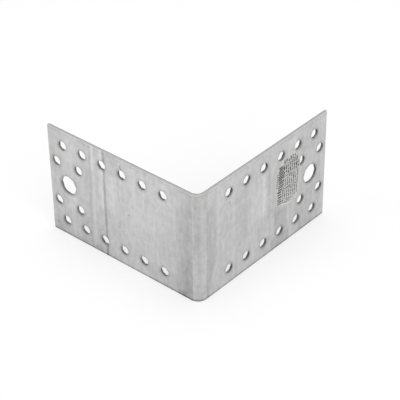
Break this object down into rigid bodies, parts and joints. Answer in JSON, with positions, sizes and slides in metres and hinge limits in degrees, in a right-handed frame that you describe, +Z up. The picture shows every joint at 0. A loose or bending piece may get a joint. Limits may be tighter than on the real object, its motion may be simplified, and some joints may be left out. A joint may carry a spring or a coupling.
{
  "type": "corner brace bracket",
  "caption": "Right-angle corner brace folded from galvanised sheet steel, with rows of nail holes and a bolt hole in each leg.",
  "frame": {"origin": "where the planes of the two outer faces and of the lower edge meet, which is the inside corner of the members that the bracket joins", "axes": "the right leg runs along +X with its outer face on y = 0, the left leg along +Y with its outer face on x = 0, and +Z is up along the fold"},
  "size_m": [0.1016, 0.1016, 0.065],
  "materials": {
    "galvanised_steel": "dull galvanised",
    "label_film": "satin"
  },
  "bodies": {
    "root": {"bracket": "galvanised_steel"}
  },
  "joints": []
}
